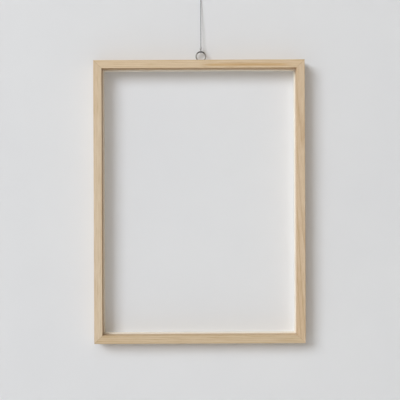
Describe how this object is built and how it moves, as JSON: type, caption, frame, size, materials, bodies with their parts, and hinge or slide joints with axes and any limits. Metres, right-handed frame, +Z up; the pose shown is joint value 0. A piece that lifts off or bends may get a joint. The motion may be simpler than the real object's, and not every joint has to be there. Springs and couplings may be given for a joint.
{
  "type": "screen printing frame",
  "caption": "Slender mitred timber screen printing frame, open and unmeshed, with screwed mesh-clamping slips in a back rebate, hung by a screw eye on a single wire.",
  "frame": {"origin": "centre of the hanging wire's upper loop, where the nail holds it", "axes": "+X to the right along the top rail seen from the front, +Y from the front face to the wall side, +Z up"},
  "size_m": [0.38, 0.0338, 0.644],
  "materials": {
    "rail_wood": "planed and sanded pale softwood, unfinished, fine straight grain",
    "slip_wood": "planed paler wood, unfinished",
    "key_wood": "planed hardwood, trimmed flush",
    "nail_steel": "dull hardened strip",
    "brass_screw": "turned, slightly dulled",
    "eye_steel": "nickel plated, dulled",
    "wire_steel": "drawn galvanised wire"
  },
  "bodies": {
    "wire": {"hanging_wire": "wire_steel", "wire_wrap_lower": "wire_steel", "wire_wrap_upper": "wire_steel"},
    "frame": {"top_rail": "rail_wood", "bottom_rail": "rail_wood", "left_stile": "rail_wood", "right_stile": "rail_wood", "top_slip": "slip_wood", "bottom_slip": "slip_wood", "left_slip": "slip_wood", "right_slip": "slip_wood", "top_slip_screws": "brass_screw", "bottom_slip_screws": "brass_screw", "left_slip_screws": "brass_screw", "right_slip_screws": "brass_screw", "corner_key_top_left": "key_wood", "corner_key_top_right": "key_wood", "corner_key_bottom_left": "key_wood", "corner_key_bottom_right": "key_wood", "v_nails_top_left": "nail_steel", "v_nails_top_right": "nail_steel", "v_nails_bottom_left": "nail_steel", "v_nails_bottom_right": "nail_steel", "screw_eye": "eye_steel"}
  },
  "joints": [
    {"name": "frame_swing", "type": "hinge", "parent": "wire", "child": "frame", "pos_m": [0, -0.0075, -0.12055], "axis": [0, 1, 0], "range_deg": [-80, 80]}
  ]
}
